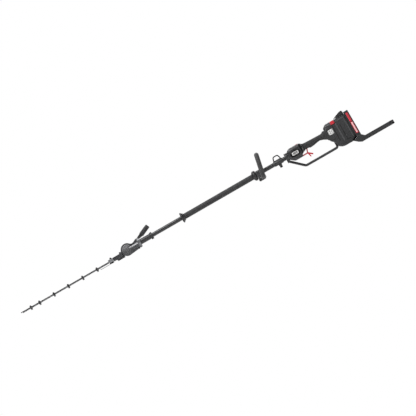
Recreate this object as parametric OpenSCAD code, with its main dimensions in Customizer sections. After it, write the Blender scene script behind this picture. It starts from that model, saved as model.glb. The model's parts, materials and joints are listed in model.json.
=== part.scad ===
// Long-reach cordless hedge trimmer, without its battery pack.
// X runs along the shaft from the blade tip (-X) to the battery end (+X), Y is the width, Z is up.
// The origin is under the middle of the tool, on the plane that the rear guard rests on.

/* [Overall] */
// Length from the blade tip to the end of the rear guard
overall_l = 2429; // [2380:1:2460]
// Height of the shaft axis above the underside of the rear guard
shaft_z = 140; // [139:0.5:142]

/* [Cutter bar] */
// Distance from the tilt pivot to the blade tip
blade_reach = 716.5; // [700:0.5:720]
// Drop of the blade plane below the shaft axis
blade_drop = 15.2; // [15:0.1:15.4]
// Distance between two teeth
tooth_pitch = 32; // [30:0.5:32]
// Number of teeth on each side
tooth_n = 17; // [10:1:17]
// Half width over the tooth tips
blade_half_w = 46; // [40:1:50]
// Thickness of one blade
blade_t = 2.4; // [2.2:0.1:2.5]
// Crank throw, half of one blade's stroke
throw = 5; // [4:0.5:5]

/* [Tilting head] */
// Radius of the two cheeks that carry the tilt pivot
cheek_r = 37.5; // [36:0.5:38]
// Radius of the head's own drum between the cheeks
drum_r = 34; // [33:0.5:34.5]
// Diameter of the pivot pin
pivot_d = 10; // [8:0.5:10]

/* [Shaft] */
// Outer diameter of the shaft tube
tube_d = 25; // [24:0.5:26]
// Wall of the shaft tube
tube_wall = 1.5; // [1:0.1:2]
// Outer diameter of the front guide sleeve
sleeve_d = 34; // [32:0.5:36]

/* [Handles] */
// Diameter of the adjusting lever's grip
lever_grip_d = 28; // [20:0.5:28]
// Diameter of the loop handle
loop_d = 28; // [26:1:28]
// Lean of the loop handle towards the rear
loop_lean = 11.8; // [8:0.1:13]
// Diameter of the hand guard's tube
bow_d = 15; // [11:0.5:15]
// Squeeze of the red trigger, in degrees
trigger_room = 10; // [8:1:12]

/* [Housings] */
// Width of the motor housing
motor_w = 76; // [74:1:84]
// Width of the rear grip
grip_w = 34; // [32:1:36]
// Width of the rear housing
rear_w = 116; // [112:1:120]
// Wall of the moulded housings
wall = 3; // [2.5:0.5:3.5]

/* [Hidden] */
$fn = 48;
fit = 0.05;            // radial clearance of a shaft, pin or clamp in its seat
gap = 0.4;             // clearance between parts that move past each other
pivot_x = -overall_l / 2 + blade_reach;
tip_x = -overall_l / 2;
end_x = overall_l / 2;
tube_r = tube_d / 2;
tube_in = tube_r - tube_wall;

// Blade stack, measured at the middle between the two blades
blade_z = shaft_z - blade_drop;
low_z = blade_z - 0.15 - blade_t;
high_z = blade_z + 0.15;
bar_t = 4.5;
bar_z = high_z + blade_t + 0.3;
bolt_x = concat([tip_x + 66.7], [for (k = [0:4]) tip_x + 124.5 + 96 * k]);
block_x = pivot_x - 129;
rear_bolt_x = block_x + 19;
slot_r = 4.6;
washer_z = low_z - 0.3;

// Gear train: bevel pinions on both sides of the hub bevel, then a small pinion on the crank gear
bevel_r = 20;
pinion_r = 10;
crank_x = pivot_x - 54;
crank_bevel_r = 20;
crank_pinion_r = 6;
crank_pin_r = 6;
eye_r = crank_pin_r + throw + 0.6;
open_mesh = 3.2;       // the front pinion stands this far off, so that its teeth clear at every tilt

// Stations along the shaft
flange_x = pivot_x + 75.2;
flange_end = flange_x + 14.5;
stub_end = flange_end + 66.7;
clamp_end = stub_end + 14.5;
sleeve_x = pivot_x + 385.5;
sleeve_end = sleeve_x + 455.3;
loop_x = sleeve_end + 26.3;
bar_x = loop_x + 29.6;
bar_h = shaft_z - 27.2;
harness_x = loop_x + 118.8;
harness_l = 55.1;
nose_x = loop_x + 193.1;
motor_x = nose_x + 18.6;
grip_x = motor_x + 95.7;
frame_x = grip_x + 307.4;
frame_end = frame_x + 29;

// Adjusting lever on the tilt joint's case
lever_pos = [flange_x + 4.8, 0, shaft_z + 18.5];
lever_rise = 24;
// Trigger pivot at the lower rear corner of the motor housing
trigger_pos = [grip_x - 17.5, 0, shaft_z - 38.5];
stem_x = grip_x + 21.5;
stem_run = stem_x - trigger_pos[0];
stem_swing = 25.5 * sin(trigger_room) + 3.8;
latch_pos = [frame_x - 52, 0, shaft_z + 58];

// ---------------------------------------------------------------- shared shapes

// A rod along X from x0 to x1 on the shaft axis, moved by [y, z]
module rod_x(x0, x1, d, off = [0, 0])
    translate([x0, off[0], shaft_z + off[1]]) rotate([0, 90, 0]) cylinder(h = x1 - x0, d = d);

// A ring along X around the shaft axis
module ring_x(x0, x1, d, hole)
    difference() {
        rod_x(x0, x1, d);
        rod_x(x0 - 1, x1 + 1, hole);
    }

// A rod along Y through [x, z]
module rod_y(x, z, y0, y1, d)
    translate([x, y1, z]) rotate([90, 0, 0]) cylinder(h = y1 - y0, d = d);

// A rod along Z through [x, y]
module rod_z(x, y, z0, z1, d)
    translate([x, y, z0]) cylinder(h = z1 - z0, d = d);

// A box from its lowest to its highest corner
module box(low, high)
    translate(low) cube([high[0] - low[0], high[1] - low[1], high[2] - low[2]]);

// A side view [x, z] given a thickness from y0 to y1
module side_plate(outline, y0, y1)
    translate([0, y1, 0]) rotate([90, 0, 0]) linear_extrude(y1 - y0) polygon(outline);

// A collar turned about the shaft axis from an [x, radius] outline
module turned_x(outline)
    translate([0, 0, shaft_z]) rotate([0, 90, 0])
        rotate_extrude() polygon([for (p = outline) [p[1], p[0]]]);

// Stations [across, up, heading] of a rod that runs and bends: each step is [run, turn, bend radius]
function run_end(p, a, run) = p + run * [sin(a), cos(a)];
function arc_end(p, a, turn, r) = let (s = turn < 0 ? -r : r)
    p + s * [cos(a) - cos(a + turn), sin(a + turn) - sin(a)];
function rod_path(steps, p = [0, 0], a = 0, i = 0) = i == len(steps) ? [] :
    let (turn = steps[i][1], r = steps[i][2], q = run_end(p, a, steps[i][0]), n = ceil(abs(turn) / 12))
    concat([[q.x, q.y, a]],
        [for (k = [1:1:n]) let (e = arc_end(q, a, turn * k / n, r)) [e.x, e.y, a + turn * k / n]],
        rod_path(steps, arc_end(q, a, turn, r), a + turn, i + 1));

// A rod swept along such stations, either with two flat ends or closed to a ring
module swept_rod(stations, d, closed = false) {
    sides = 20;
    n = len(stations);
    last = closed ? n - 1 : n - 2;
    points = [for (p = stations, k = [0:sides - 1]) let (u = d / 2 * cos(k * 360 / sides))
        [p[0] + u * cos(p[2]), d / 2 * sin(k * 360 / sides), p[1] - u * sin(p[2])]];
    skin = [for (i = [0:last], k = [0:sides - 1]) let (j = (i + 1) % n, m = (k + 1) % sides)
        [i * sides + k, i * sides + m, j * sides + m, j * sides + k]];
    caps = closed ? [] : [[for (k = [sides - 1:-1:0]) k], [for (k = [0:sides - 1]) (n - 1) * sides + k]];
    polyhedron(points, concat(skin, caps), convexity = 6);
}

// Bevel gear around Z with its pitch cone's tip at the origin, face from s0 to s1 of its size
module bevel_gear(teeth, r, h, s0, s1, phase = 0) {
    tip = 0.5;
    root = 0.8;
    back = 1.6;
    tilt = atan2(r, h);
    out = [cos(tilt), -sin(tilt)];
    small = [r * s0, h * s0];
    big = [r * s1, h * s1];
    pitch = 360 / teeth;
    rotate_extrude() polygon([[0, (small - root * out).y], small - root * out, big - root * out,
        big - root * out + [0, back], [0, (big - root * out).y + back]]);
    for (k = [0:teeth - 1])
        rotate_extrude(angle = pitch * 0.36, start = phase + (k - 0.18) * pitch)
            polygon([small - 2 * root * out, small + tip * out, big + tip * out, big - 2 * root * out]);
}

// A hex-socket screw head pointing up at a height
module socket_head(x, y, z, d, h)
    difference() {
        rod_z(x, y, z, z + h, d);
        translate([x, y, z + h - h / 2]) cylinder(h = h, d = d / 2, $fn = 6);
    }

// ---------------------------------------------------------------- cutter bar

// A slot along X, drawn flat
module slot_2d(x, r, half) {
    translate([x - half, -r]) square([2 * half, 2 * r]);
    for (s = [-1, 1]) translate([x + s * half, 0]) circle(r = r);
}

module guide_bar() color("gray") {
    tail = block_x + 44;
    translate([0, 0, bar_z]) linear_extrude(bar_t) difference() {
        union() {
            translate([tip_x + 15, -15]) square([tail - tip_x - 15, 30]);
            translate([tip_x + 15, 0]) circle(r = 15);
        }
        for (x = concat(bolt_x, [rear_bolt_x])) translate([x, 0]) circle(r = 3 + fit);
        for (k = [0:3]) slot_2d(tip_x + 172.5 + 96 * k, 5, 18);
    }
}

// A blade flat: a spine, teeth on both sides, a drive eye and clearance slots for the bolts
module blade_2d() {
    spine = 15;
    first = tip_x + 52;
    tooth = [[10.5, spine - 1], [3.6, blade_half_w - 2], [1.5, blade_half_w],
        [-1.5, blade_half_w], [-3.6, blade_half_w - 2], [-10.5, spine - 1]];
    difference() {
        union() {
            translate([tip_x + 30, -spine]) square([crank_x - tip_x - 30, 2 * spine]);
            translate([tip_x + 12, 0]) polygon([[18, -15], [18, 15], [0, 8], [-2, 0], [0, -8]]);
            for (k = [0:tooth_n - 1])
                translate([first + k * tooth_pitch, 0]) polygon(concat(tooth, -tooth));
            slot_2d(crank_x, eye_r + 3, throw);
        }
        slot_2d(crank_x, eye_r, throw);
        for (x = concat(bolt_x, [rear_bolt_x])) slot_2d(x, slot_r + gap, throw);
    }
}

module upper_blade() color("silver") translate([0, 0, high_z]) linear_extrude(blade_t) blade_2d();

module lower_blade() color("darkgray") translate([0, 0, low_z]) linear_extrude(blade_t) blade_2d();

// One through-bolt: head, washer, guide collar in the blade slots, shank and nut
module blade_bolt(x, nut_z, top_z) {
    difference() {
        union() {
            rod_z(x, 0, washer_z - 2, washer_z, 17);
            rod_z(x, 0, washer_z - 9.2, washer_z - 2, 10);
            rod_z(x, 0, washer_z, bar_z - 0.05, 2 * slot_r);
            rod_z(x, 0, bar_z - 0.05, top_z, 6);
        }
        translate([x, 0, washer_z - 10]) cylinder(h = 4, d = 5, $fn = 6);
    }
    difference() {
        translate([x, 0, nut_z]) {
            cylinder(h = 5.5, d = 11.5, $fn = 6);
            cylinder(h = 1.4, d = 14);
        }
        rod_z(x, 0, nut_z - 1, nut_z + 7, 6);
    }
}

module blade_bolts() color("dimgray") {
    for (x = bolt_x) blade_bolt(x, bar_z + bar_t + 0.05, bar_z + bar_t + 8.5);
    blade_bolt(rear_bolt_x, shaft_z + 1.2, shaft_z + 9.5);
}

// Bridge that carries the guide bar over the moving blades
module bar_block() color("darkgray") difference() {
    union() {
        box([block_x, -26, washer_z + 0.1], [block_x + 30, 26, shaft_z + 1]);
        box([block_x + 6, -30, bar_z + bar_t], [block_x + 30, 30, shaft_z - 1]);
    }
    box([block_x - 1, -20.5, washer_z - 1], [block_x + 31, 20.5, bar_z - 0.1]);
    box([block_x - 1, -15.1, bar_z - 1], [block_x + 31, 15.1, bar_z + bar_t + 0.05]);
    rod_z(rear_bolt_x, 0, 100, 200, 6.1);
}

// Thin shoe under the rear of the cutter bar
module blade_shoe() color("lightgray") {
    low = washer_z - 8.5;
    high = washer_z - 6;
    difference() {
        union() {
            side_plate([[block_x - 58, low], [block_x - 63, low + 3.2], [block_x - 61, low + 4.6],
                [block_x - 56.5, high], [block_x + 30, high], [block_x + 30, low]], -20, 20);
            for (s = [-23, 23]) {
                box([block_x + 2, s - 2.5, high - 0.1], [block_x + 28, s + 2.5, washer_z + 0.05]);
                box([block_x + 2, s - 3.5, low], [block_x + 28, s + 3.5, high]);
            }
        }
        rod_z(rear_bolt_x, 0, 90, washer_z, 17.8);
    }
}

// ---------------------------------------------------------------- tilting head

// The head seen from above, from the bar block back to the pivot
module head_2d(r, half) {
    difference() {
        union() {
            translate([crank_x, 0]) circle(r = r);
            translate([block_x + 30.3, -half]) square([crank_x - block_x - 30.3, 2 * half]);
        }
        translate([pivot_x - cheek_r - 1.5, -60]) square([60, 120]);
    }
    translate([crank_x, -17.6 + 36 - r]) square([pivot_x - crank_x - 8, 2 * (17.6 - 36 + r)]);
}

module head_case() color("slategray") {
    roof_z = bar_z + bar_t + 0.6;
    difference() {
        union() {
            translate([0, 0, low_z - 3.4]) linear_extrude(shaft_z + 1 - low_z + 3.4) head_2d(36, 30);
            rod_y(pivot_x, shaft_z, -17.6, 17.6, 2 * drum_r);
            rod_x(pivot_x - 47, pivot_x - 29, 17);
            rod_z(pivot_x - 48, 0, shaft_z, shaft_z + 6, 9);
            rod_z(pivot_x - 48, 0, shaft_z + 5, shaft_z + 9.5, 6);
        }
        // room for the blades and their drive eyes
        translate([0, 0, low_z - 0.5]) linear_extrude(roof_z - low_z + 0.5)
            intersection() {
                head_2d(32, 26);
                translate([block_x, -26]) square([pivot_x - 39 - block_x, 52]);
            }
        box([block_x, -20.5, low_z - 0.5], [crank_x, 20.5, roof_z]);
        box([crank_x, -15.2, low_z - 0.5], [pivot_x - 28.6, 15.2, roof_z]);
        // hub cavity, open at the back and below for the drive pinion at every tilt
        rod_y(pivot_x, shaft_z, -13.6, 13.6, 2 * drum_r - 8);
        box([pivot_x, -13.6, shaft_z - drum_r - 1], [pivot_x + 50, 13.6, shaft_z + drum_r + 1]);
        box([pivot_x - 13, -13.6, shaft_z - drum_r - 1], [pivot_x + 1, 13.6, shaft_z - 20]);
        rod_y(pivot_x, shaft_z, -30, 30, pivot_d + 2 * fit);
        // bore and pocket of the shaft between the bevels
        rod_x(pivot_x - 36, pivot_x - 28, 8 + 2 * fit);
        rod_x(crank_x + 10, pivot_x - 33.6, 14.4);
        // crank gear's pocket and the crank's journals
        rod_z(crank_x, 0, roof_z - 1, shaft_z - 2.6, 2 * crank_bevel_r + 3.5);
        rod_z(crank_x, 0, shaft_z - 3, shaft_z - 0.3, 8 + 2 * fit);
        rod_z(crank_x, 0, low_z - 5, low_z, 12 + 2 * fit);
    }
}

// Black cover under the head, with the crank's lower bearing
module head_cover() color("black") {
    floor_z = low_z - 15.2;
    top_z = low_z - 3.45;
    difference() {
        union() {
            translate([0, 0, top_z - 1.6]) linear_extrude(1.6) head_2d(36, 30);
            translate([0, 0, floor_z]) linear_extrude(top_z - floor_z) intersection() {
                translate([crank_x, 0]) circle(r = 22);
                translate([crank_x - 30, -30]) square([pivot_x - cheek_r - 1.5 - crank_x + 30, 60]);
            }
            box([crank_x, -17, floor_z], [crank_x + 25, 17, top_z]);
        }
        rod_z(crank_x, 0, floor_z + 3.9, top_z + 1, 12 + 2 * fit);
        for (x = [crank_x + 9, crank_x + 17]) box([x, -14, floor_z - 1], [x + 5, 14, floor_z + 7]);
        for (p = cover_screw_at) rod_z(p[0], p[1], 0, 200, 4.2);
        box([pivot_x - 28.8, -30, top_z - 2], [pivot_x, 30, top_z + 1]);
    }
}

cover_screw_at = [for (s = [-1, 1], x = [crank_x - 23, crank_x + 8]) [x, s * 27.5]];

module cover_screws() color("dimgray")
    for (p = cover_screw_at) {
        rod_z(p[0], p[1], low_z - 9, low_z - 5.1, 7);
        rod_z(p[0], p[1], low_z - 5.2, low_z - 3.5, 4);
    }

// Crank gear with two crank pins half a turn apart
module crank_gear() color("gold") translate([crank_x, 0, 0]) {
    rod_z(0, 0, low_z - 11.2, low_z, 12);
    rod_z(0, throw, low_z - 0.1, low_z + blade_t + 0.05, 2 * crank_pin_r);
    rod_z(0, 0, low_z + blade_t, high_z, 10);
    rod_z(0, -throw, high_z - 0.1, high_z + blade_t + 0.1, 2 * crank_pin_r);
    rod_z(0, 0, high_z + blade_t, shaft_z - 4, 10);
    rod_z(0, 0, shaft_z - 4.2, shaft_z - 0.5, 8);
    translate([0, 0, shaft_z]) mirror([0, 0, 1])
        bevel_gear(40, crank_bevel_r, crank_pinion_r, 0.6, 1, 4.5);
}

// Shaft between the bevels: large pinion at the hub, small pinion on the crank gear
module bevel_shaft() color("goldenrod") {
    translate([pivot_x - open_mesh, 0, shaft_z]) rotate([0, -90, 0])
        bevel_gear(12, pinion_r, bevel_r, 0.6, 1, -90);
    rod_x(crank_x + 18, pivot_x - 20, 8);
    translate([crank_x + 0.2, 0, shaft_z]) rotate([0, 90, 0])
        bevel_gear(12, crank_pinion_r, crank_bevel_r, 0.6, 0.9, 0);
}

// ---------------------------------------------------------------- tilt joint and drive

// Bevel gear that turns on the pivot pin and carries the drive through the joint
module hub_bevel() color("goldenrod") difference() {
    translate([pivot_x, 0, shaft_z]) {
        rotate([90, 0, 0]) bevel_gear(24, bevel_r, pinion_r, 0.6, 1, 7.5);
        rotate([90, 0, 0]) cylinder(h = 13, r = 8);
    }
    rod_y(pivot_x, shaft_z, -20, 20, pivot_d + 2 * fit);
}

module pivot_pin() color("dimgray") difference() {
    union() {
        rod_y(pivot_x, shaft_z, -31, 31, pivot_d);
        for (s = [-1, 1]) rod_y(pivot_x, shaft_z, s * 30 - 1.8, s * 30 + 1.8, 18);
    }
    for (s = [-1, 1]) translate([pivot_x, s * 32, shaft_z]) rotate([90, 0, 0])
        cylinder(h = 6, d = 8, center = true, $fn = 6);
}

// Fixed half of the tilt joint: two cheeks around the head's drum and a case behind them
module knuckle_case() color("lightslategray") {
    back = flange_x;
    outline = [[pivot_x, shaft_z + cheek_r], [pivot_x + 14, shaft_z + 34], [pivot_x + 37, shaft_z + 18.5],
        [pivot_x + 48, shaft_z + 18.5], [back - 6, shaft_z + 29], [back, shaft_z + 30],
        [back, shaft_z - 27], [pivot_x + 60, shaft_z - 30.5], [pivot_x, shaft_z - cheek_r]];
    difference() {
        union() {
            side_plate(outline, -28, 28);
            rod_y(pivot_x, shaft_z, -28, 28, 2 * cheek_r);
            for (s = [-28.5, 28.5])
                box([pivot_x + 8, s - 1.5, shaft_z + 1], [back - 2, s + 1.5, shaft_z + 7]);
        }
        // slot for the head between the cheeks
        box([pivot_x - 60, -18, shaft_z - 60], [pivot_x + 36, 18, shaft_z + 60]);
        rod_y(pivot_x, shaft_z, -40, 40, pivot_d + 2 * fit);
        for (s = [-1, 1]) rod_y(pivot_x, shaft_z, s * 30 - 1.9, s * 30 + 1.9, 18.1);
        rod_x(pivot_x + 35, pivot_x + 46, 24 + 2 * fit);
        rod_x(pivot_x + 45, back - 2, 18);
        rod_x(back - 3, back + 1, tube_d + 2 * fit);
        box([pivot_x + 60, -8, shaft_z + 13.2], [back + 1, 8, shaft_z + 60]);
    }
}

module case_flange() color("silver") difference() {
    union() {
        rod_x(flange_x + 0.05, flange_end, 59, [0, 2.4]);
        for (a = [30, 150, 270])
            rod_x(flange_x + 0.05, flange_end - 3, 12, [26 * cos(a), 2.4 + 26 * sin(a)]);
    }
    rod_x(flange_x - 1, flange_end + 1, tube_d + 2 * fit);
    box([flange_x - 1, -8, shaft_z + 13.2], [flange_end + 1, 8, shaft_z + 60]);
    rod_y(lever_pos[0], lever_pos[2], -20, 20, 6 + 2 * fit);
}

// Ball bearings of the drive pinion and of the motor
module bearing(x, d, bore) {
    ring_x(x, x + 8, d, d - 5);
    ring_x(x, x + 8, bore + 5, bore);
    ring_x(x + 3.4, x + 4.6, d - 5, bore + 5);
}

module ball_bearings() color("silver") {
    bearing(pivot_x + 36.5, 24, 10 + 2 * fit);
    bearing(motor_x + 10, 26, 10 + 2 * fit);
    bearing(motor_x + 76, 26, 10 + 2 * fit);
}

module drive_pinion() color("goldenrod") {
    translate([pivot_x, 0, shaft_z]) rotate([0, 90, 0]) bevel_gear(12, pinion_r, bevel_r, 0.6, 1, -90);
    rod_x(pivot_x + bevel_r, pivot_x + 36, 15);
    rod_x(pivot_x + 35, pivot_x + 66, 10);
}

module lever_arm() color("dimgray") translate(lever_pos) rotate([0, -lever_rise, 0]) difference() {
    union() {
        side_plate([[0, -3.5], [10, -3.8], [36, -10.5], [36, 11], [9, 11], [0, 5]], -6.5, 6.5);
        rod_y(0, 0, -6.5, 6.5, 10);
        translate([32, 0, 0.4]) rotate([0, 90, 0]) cylinder(h = 62, d = 10);
    }
    rod_y(0, 0, -20, 20, 6 + 2 * fit);
}

module lever_grip() color("black") translate(lever_pos) rotate([0, -lever_rise, 0])
    translate([36.1, 0, 0.4]) rotate([0, 90, 0]) difference() {
        union() {
            for (k = [0:6]) translate([0, 0, 1 + k * 8]) cylinder(h = 5.6, d = lever_grip_d);
            cylinder(h = 60, d = lever_grip_d - 2);
            translate([0, 0, 58]) cylinder(h = 8, d1 = lever_grip_d, d2 = lever_grip_d - 4);
        }
        translate([0, 0, -1]) cylinder(h = 59.5, d = 10 + 2 * fit);
    }

// Pins of the adjusting lever, the trigger and the battery latch
module hinge_pins() color("silver") {
    rod_y(lever_pos[0], lever_pos[2], -15, 15, 6);
    rod_y(trigger_pos[0], trigger_pos[2], -14, 14, 3);
    rod_y(latch_pos[0], latch_pos[2], -33, 33, 4);
}

// ---------------------------------------------------------------- shaft

module stub_sleeve() color("black") ring_x(flange_end + 0.05, stub_end, 32.5, tube_d + 2 * fit);

module tube_clamp() color("black") difference() {
    union() {
        rod_x(stub_end + 0.05, clamp_end, 36);
        box([stub_end + 0.05, -11, shaft_z - 22], [clamp_end, 11, shaft_z + 20.5]);
    }
    rod_x(stub_end - 1, clamp_end + 1, tube_d + 2 * fit);
    box([stub_end - 1, -1, shaft_z + 5], [clamp_end + 1, 1, shaft_z + 30]);
}

module clamp_screws() color("silver") {
    x = (stub_end + clamp_end) / 2;
    for (s = [-1, 1]) {
        for (z = [17.7, -19.2])
            rod_y(x, shaft_z + z, s > 0 ? 11.05 : -13.5, s > 0 ? 13.5 : -11.05, 5);
    }
}

module shaft_tube() color([0.2, 0.2, 0.2]) ring_x(flange_x + 2, nose_x + 12, tube_d, 2 * tube_in);

module shaft_bushes() color("white")
    for (k = [0:5]) let (x = flange_x + 60 + 170 * k) ring_x(x, x + 14, 2 * (tube_in - fit), 8 + 2 * fit);

module drive_shaft() color("silver") rod_x(pivot_x + 66.05, motor_x + 2, 8);

module front_collar() color("black") {
    r = tube_r + fit;
    s = sleeve_x;
    turned_x([[s - 22, r], [s - 22, 22], [s - 20, 29], [s - 18, 31.2], [s - 14, 31.2], [s - 12, 29.5],
        [s - 8, 24], [s - 0.1, 20], [s - 0.1, r]]);
}

module guide_sleeve() color([0.18, 0.18, 0.18]) difference() {
    union() {
        rod_x(sleeve_x, sleeve_end, sleeve_d - 1);
        for (k = [0:37]) rod_x(sleeve_x + 2 + 12 * k, sleeve_x + 10 + 12 * k, sleeve_d);
    }
    rod_x(sleeve_x - 1, sleeve_end + 1, tube_d + 2 * fit);
}

module rear_collar() color("black") {
    r = tube_r + fit;
    s = sleeve_end;
    turned_x([[s + 0.1, r], [s + 0.1, 19], [s + 4, 24], [s + 9, 29.5], [s + 14, 31], [s + 20, 30],
        [s + 24, 27], [s + 26, 23], [s + 26, r]]);
}

// ---------------------------------------------------------------- loop handle

module loop_clamp_top() color([0.22, 0.22, 0.22]) difference() {
    union() {
        rod_x(loop_x, loop_x + 43.5, 42);
        box([loop_x, -25, shaft_z], [loop_x + 43.5, 25, shaft_z + 12]);
    }
    box([loop_x - 1, -40, shaft_z - 60], [loop_x + 50, 40, shaft_z + 0.5]);
    rod_x(loop_x - 1, loop_x + 50, tube_d + 2 * fit);
    for (p = loop_screw_at) rod_z(p[0], p[1], 0, 300, 5.2);
}

loop_screw_at = [for (s = [-1, 1], x = [loop_x + 7, loop_x + 37]) [x, s * 21.2]];

module loop_clamp_base() color([0.2, 0.2, 0.2]) difference() {
    box([loop_x, -25, bar_h + 0.3], [loop_x + 45.5, 25, shaft_z - 0.5]);
    rod_x(loop_x - 1, loop_x + 50, tube_d + 2 * fit);
    rod_y(bar_x, bar_h, -40, 40, loop_d + 2 * fit);
    for (p = loop_screw_at) rod_z(p[0], p[1], 0, 300, 5.2);
}

module loop_clamp_plate() color([0.15, 0.15, 0.15]) difference() {
    side_plate([[loop_x - 2, bar_h - 0.3], [loop_x - 2, bar_h - 14], [loop_x + 1, bar_h - 18],
        [loop_x + 36, bar_h - 18],
        [loop_x + 45.5, bar_h - 8], [loop_x + 45.5, bar_h - 0.3]], -25, 25);
    rod_y(bar_x, bar_h, -40, 40, loop_d + 2 * fit);
    for (s = [-1, 1]) rod_z(loop_x + 7, s * 21.2, 0, 300, 5.2);
}

// Two long screws through all three clamp pieces, two short ones behind them
module loop_screws() color("silver") {
    for (s = [-1, 1]) {
        rod_z(loop_x + 7, s * 21.2, bar_h - 16, shaft_z + 12.1, 5);
        rod_z(loop_x + 37, s * 21.2, shaft_z - 12, shaft_z + 12.1, 5);
        for (x = [loop_x + 7, loop_x + 37]) socket_head(x, s * 21.2, shaft_z + 12.05, 7, 5);
    }
}

loop_bend = 80;
loop_foot = 25.5;
loop_side = 62.2;
loop_low_r = 30;
loop_high_r = 38;
loop_top = 2 * (loop_foot + (loop_low_r - loop_high_r) * sin(loop_bend) + loop_side * cos(loop_bend));

module loop_handle() color([0.2, 0.2, 0.2])
    translate([bar_x, 0, bar_h]) rotate([0, loop_lean, 0]) rotate([0, 0, 90]) rotate([0, 90, 0])
        swept_rod(rod_path([[loop_foot, -loop_bend, loop_low_r], [loop_side, loop_bend - 180, loop_high_r],
            [loop_top, loop_bend - 180, loop_high_r], [loop_side, -loop_bend, loop_low_r]]), loop_d, true);

// ---------------------------------------------------------------- harness eye

module harness_clamp() color([0.2, 0.2, 0.2]) difference() {
    union() {
        rod_x(harness_x, harness_x + harness_l, 31);
        box([harness_x + 2, -6, shaft_z + 6], [harness_x + harness_l - 2, 6, shaft_z + 17.5]);
        rod_z(harness_x + 30.7, 0, shaft_z - 23, shaft_z - 8, 20);
    }
    rod_x(harness_x - 1, harness_x + harness_l + 1, tube_d + 2 * fit);
    rod_z(harness_x + 30.7, 0, shaft_z - 30, shaft_z, 6 + 2 * fit);
    for (p = [[7, 0], [48.2, 0]]) rod_z(harness_x + p[0], 0, shaft_z + 13, shaft_z + 30, 7.1);
}

eye_steps = [[7, 20, 9], [12, 70, 8], [16.87, 70, 8], [12, 20, 9], [7, 0, 0]];

module harness_eye() color([0.15, 0.15, 0.15])
    translate([harness_x + 7, 0, shaft_z + 13.1])
        swept_rod(concat([[0, 0, 0]], rod_path(eye_steps)), 7);

module harness_knob() color("black") translate([harness_x + 30.7, 0, 0]) {
    rod_z(0, 0, shaft_z - 36, shaft_z - 23.4, 12);
    for (k = [0:7]) rotate(k * 45) rod_z(6.2, 0, shaft_z - 35, shaft_z - 24, 3.4);
    rod_z(0, 0, shaft_z - 24, shaft_z - tube_r - 0.35, 6);
}

// ---------------------------------------------------------------- motor housing and hand guard

module nose_collar() color([0.2, 0.2, 0.2]) difference() {
    union() {
        rod_x(nose_x, nose_x + 18.5, 49.4);
        box([nose_x, -14, shaft_z - 34.4], [nose_x + 18.5, 14, shaft_z - 15]);
    }
    rod_x(nose_x - 1, nose_x + 12.5, tube_d + 2 * fit);
    rod_x(nose_x + 11, nose_x + 20, 10);
    translate([bow_start[0] - 0.1, 0, bow_start[1] + 0.1]) rotate([0, bow_dip, 0])
        cylinder(h = 60, d = bow_d + 2 * fit);
}

bow_start = [nose_x + 6.2, shaft_z - 24.6];
bow_dip = 133;
bow_end_x = nose_x + 297.8;
bow_slant = 96.7;
bow_bend = [24, 14];
bow_level = bow_end_x - bow_start[0] - bow_slant * sin(bow_dip)
    - bow_bend[0] * sin(bow_dip - 90) - bow_bend[1];
bow_steps = [[bow_slant, 90 - bow_dip, bow_bend[0]], [bow_level, -90, bow_bend[1]], [24, 0, 0]];
bow_stations = concat([[0, 0, 0]], rod_path(bow_steps));

module hand_guard() color([0.22, 0.22, 0.22])
    translate([bow_start[0], 0, bow_start[1]]) rotate([0, bow_dip, 0]) swept_rod(bow_stations, bow_d);

// Side view of the motor housing, grown inwards by t
module motor_side(t = 0) offset(delta = -t) polygon([
    [motor_x, shaft_z + 20], [motor_x + 14.5, shaft_z + 34.5], [motor_x + 26, shaft_z + 38.5],
    [motor_x + 84, shaft_z + 37.5], [motor_x + 95.5, shaft_z + 32],
    [motor_x + 95.5, shaft_z - 20], [motor_x + 82, shaft_z - 29], [motor_x + 75.5, shaft_z - 43],
    [motor_x + 29, shaft_z - 43], [motor_x + 11.6, shaft_z - 32], [motor_x, shaft_z - 20]]);

// Plan view of the motor housing, grown inwards by t
module motor_plan(t = 0) offset(delta = -t) polygon([for (s = [-1, 1], p = s < 0 ?
    [[0, -24], [16, -35], [30, -motor_w / 2], [80, -motor_w / 2], [95.5, -26]] :
    [[95.5, 26], [80, motor_w / 2], [30, motor_w / 2], [16, 35], [0, 24]]) [motor_x + p[0], p[1]]]);

module motor_solid(t = 0) intersection() {
    translate([0, 60, 0]) rotate([90, 0, 0]) linear_extrude(120) motor_side(t);
    translate([0, 0, shaft_z - 60]) linear_extrude(120) motor_plan(t);
}

module motor_shell() difference() {
    union() {
        difference() {
            motor_solid();
            motor_solid(wall);
        }
        intersection() {
            motor_solid(wall - 0.5);
            for (x = [motor_x + 9, motor_x + 76])
                box([x + 2, -50, shaft_z - 50], [x + 6, 50, shaft_z + 30]);
        }
        for (s = [-1, 1])
            rod_y(trigger_pos[0], trigger_pos[2], s > 0 ? 5.6 : -13, s > 0 ? 13 : -5.6, 8);
    }
    rod_x(motor_x - 5, motor_x + 10, 12);
    rod_x(motor_x + 8, motor_x + 20, 36 + 2 * fit);
    rod_x(motor_x + 60, motor_x + 86, 56);
    box([motor_x + 66, -7, shaft_z + 26], [motor_x + 82, 7, shaft_z + 60]);
    box([motor_x + 70, -5.5, shaft_z - 60], [motor_x + 100, 5.5, shaft_z - 24]);
    rod_y(trigger_pos[0], trigger_pos[2], -40, 40, 3 + 2 * fit);
    rod_x(motor_x + 88, motor_x + 100, 24);
    for (a = [0:3], s = [-1, 1])
        box([motor_x + 34 + 9 * a, s * 38 - 4, shaft_z + 18],
            [motor_x + 38 + 9 * a, s * 38 + 4, shaft_z + 30]);
}

// One half of a shell: side is 1 for +Y and -1 for -Y
module half(side) intersection() {
    children();
    translate([0, side > 0 ? 0.05 : -100.05, -50]) cube([1300, 100, 400]);
}

module motor_housing_left() color([0.22, 0.22, 0.22]) half(1) motor_shell();

module motor_housing_right() color([0.24, 0.24, 0.24]) half(-1) motor_shell();

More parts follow.
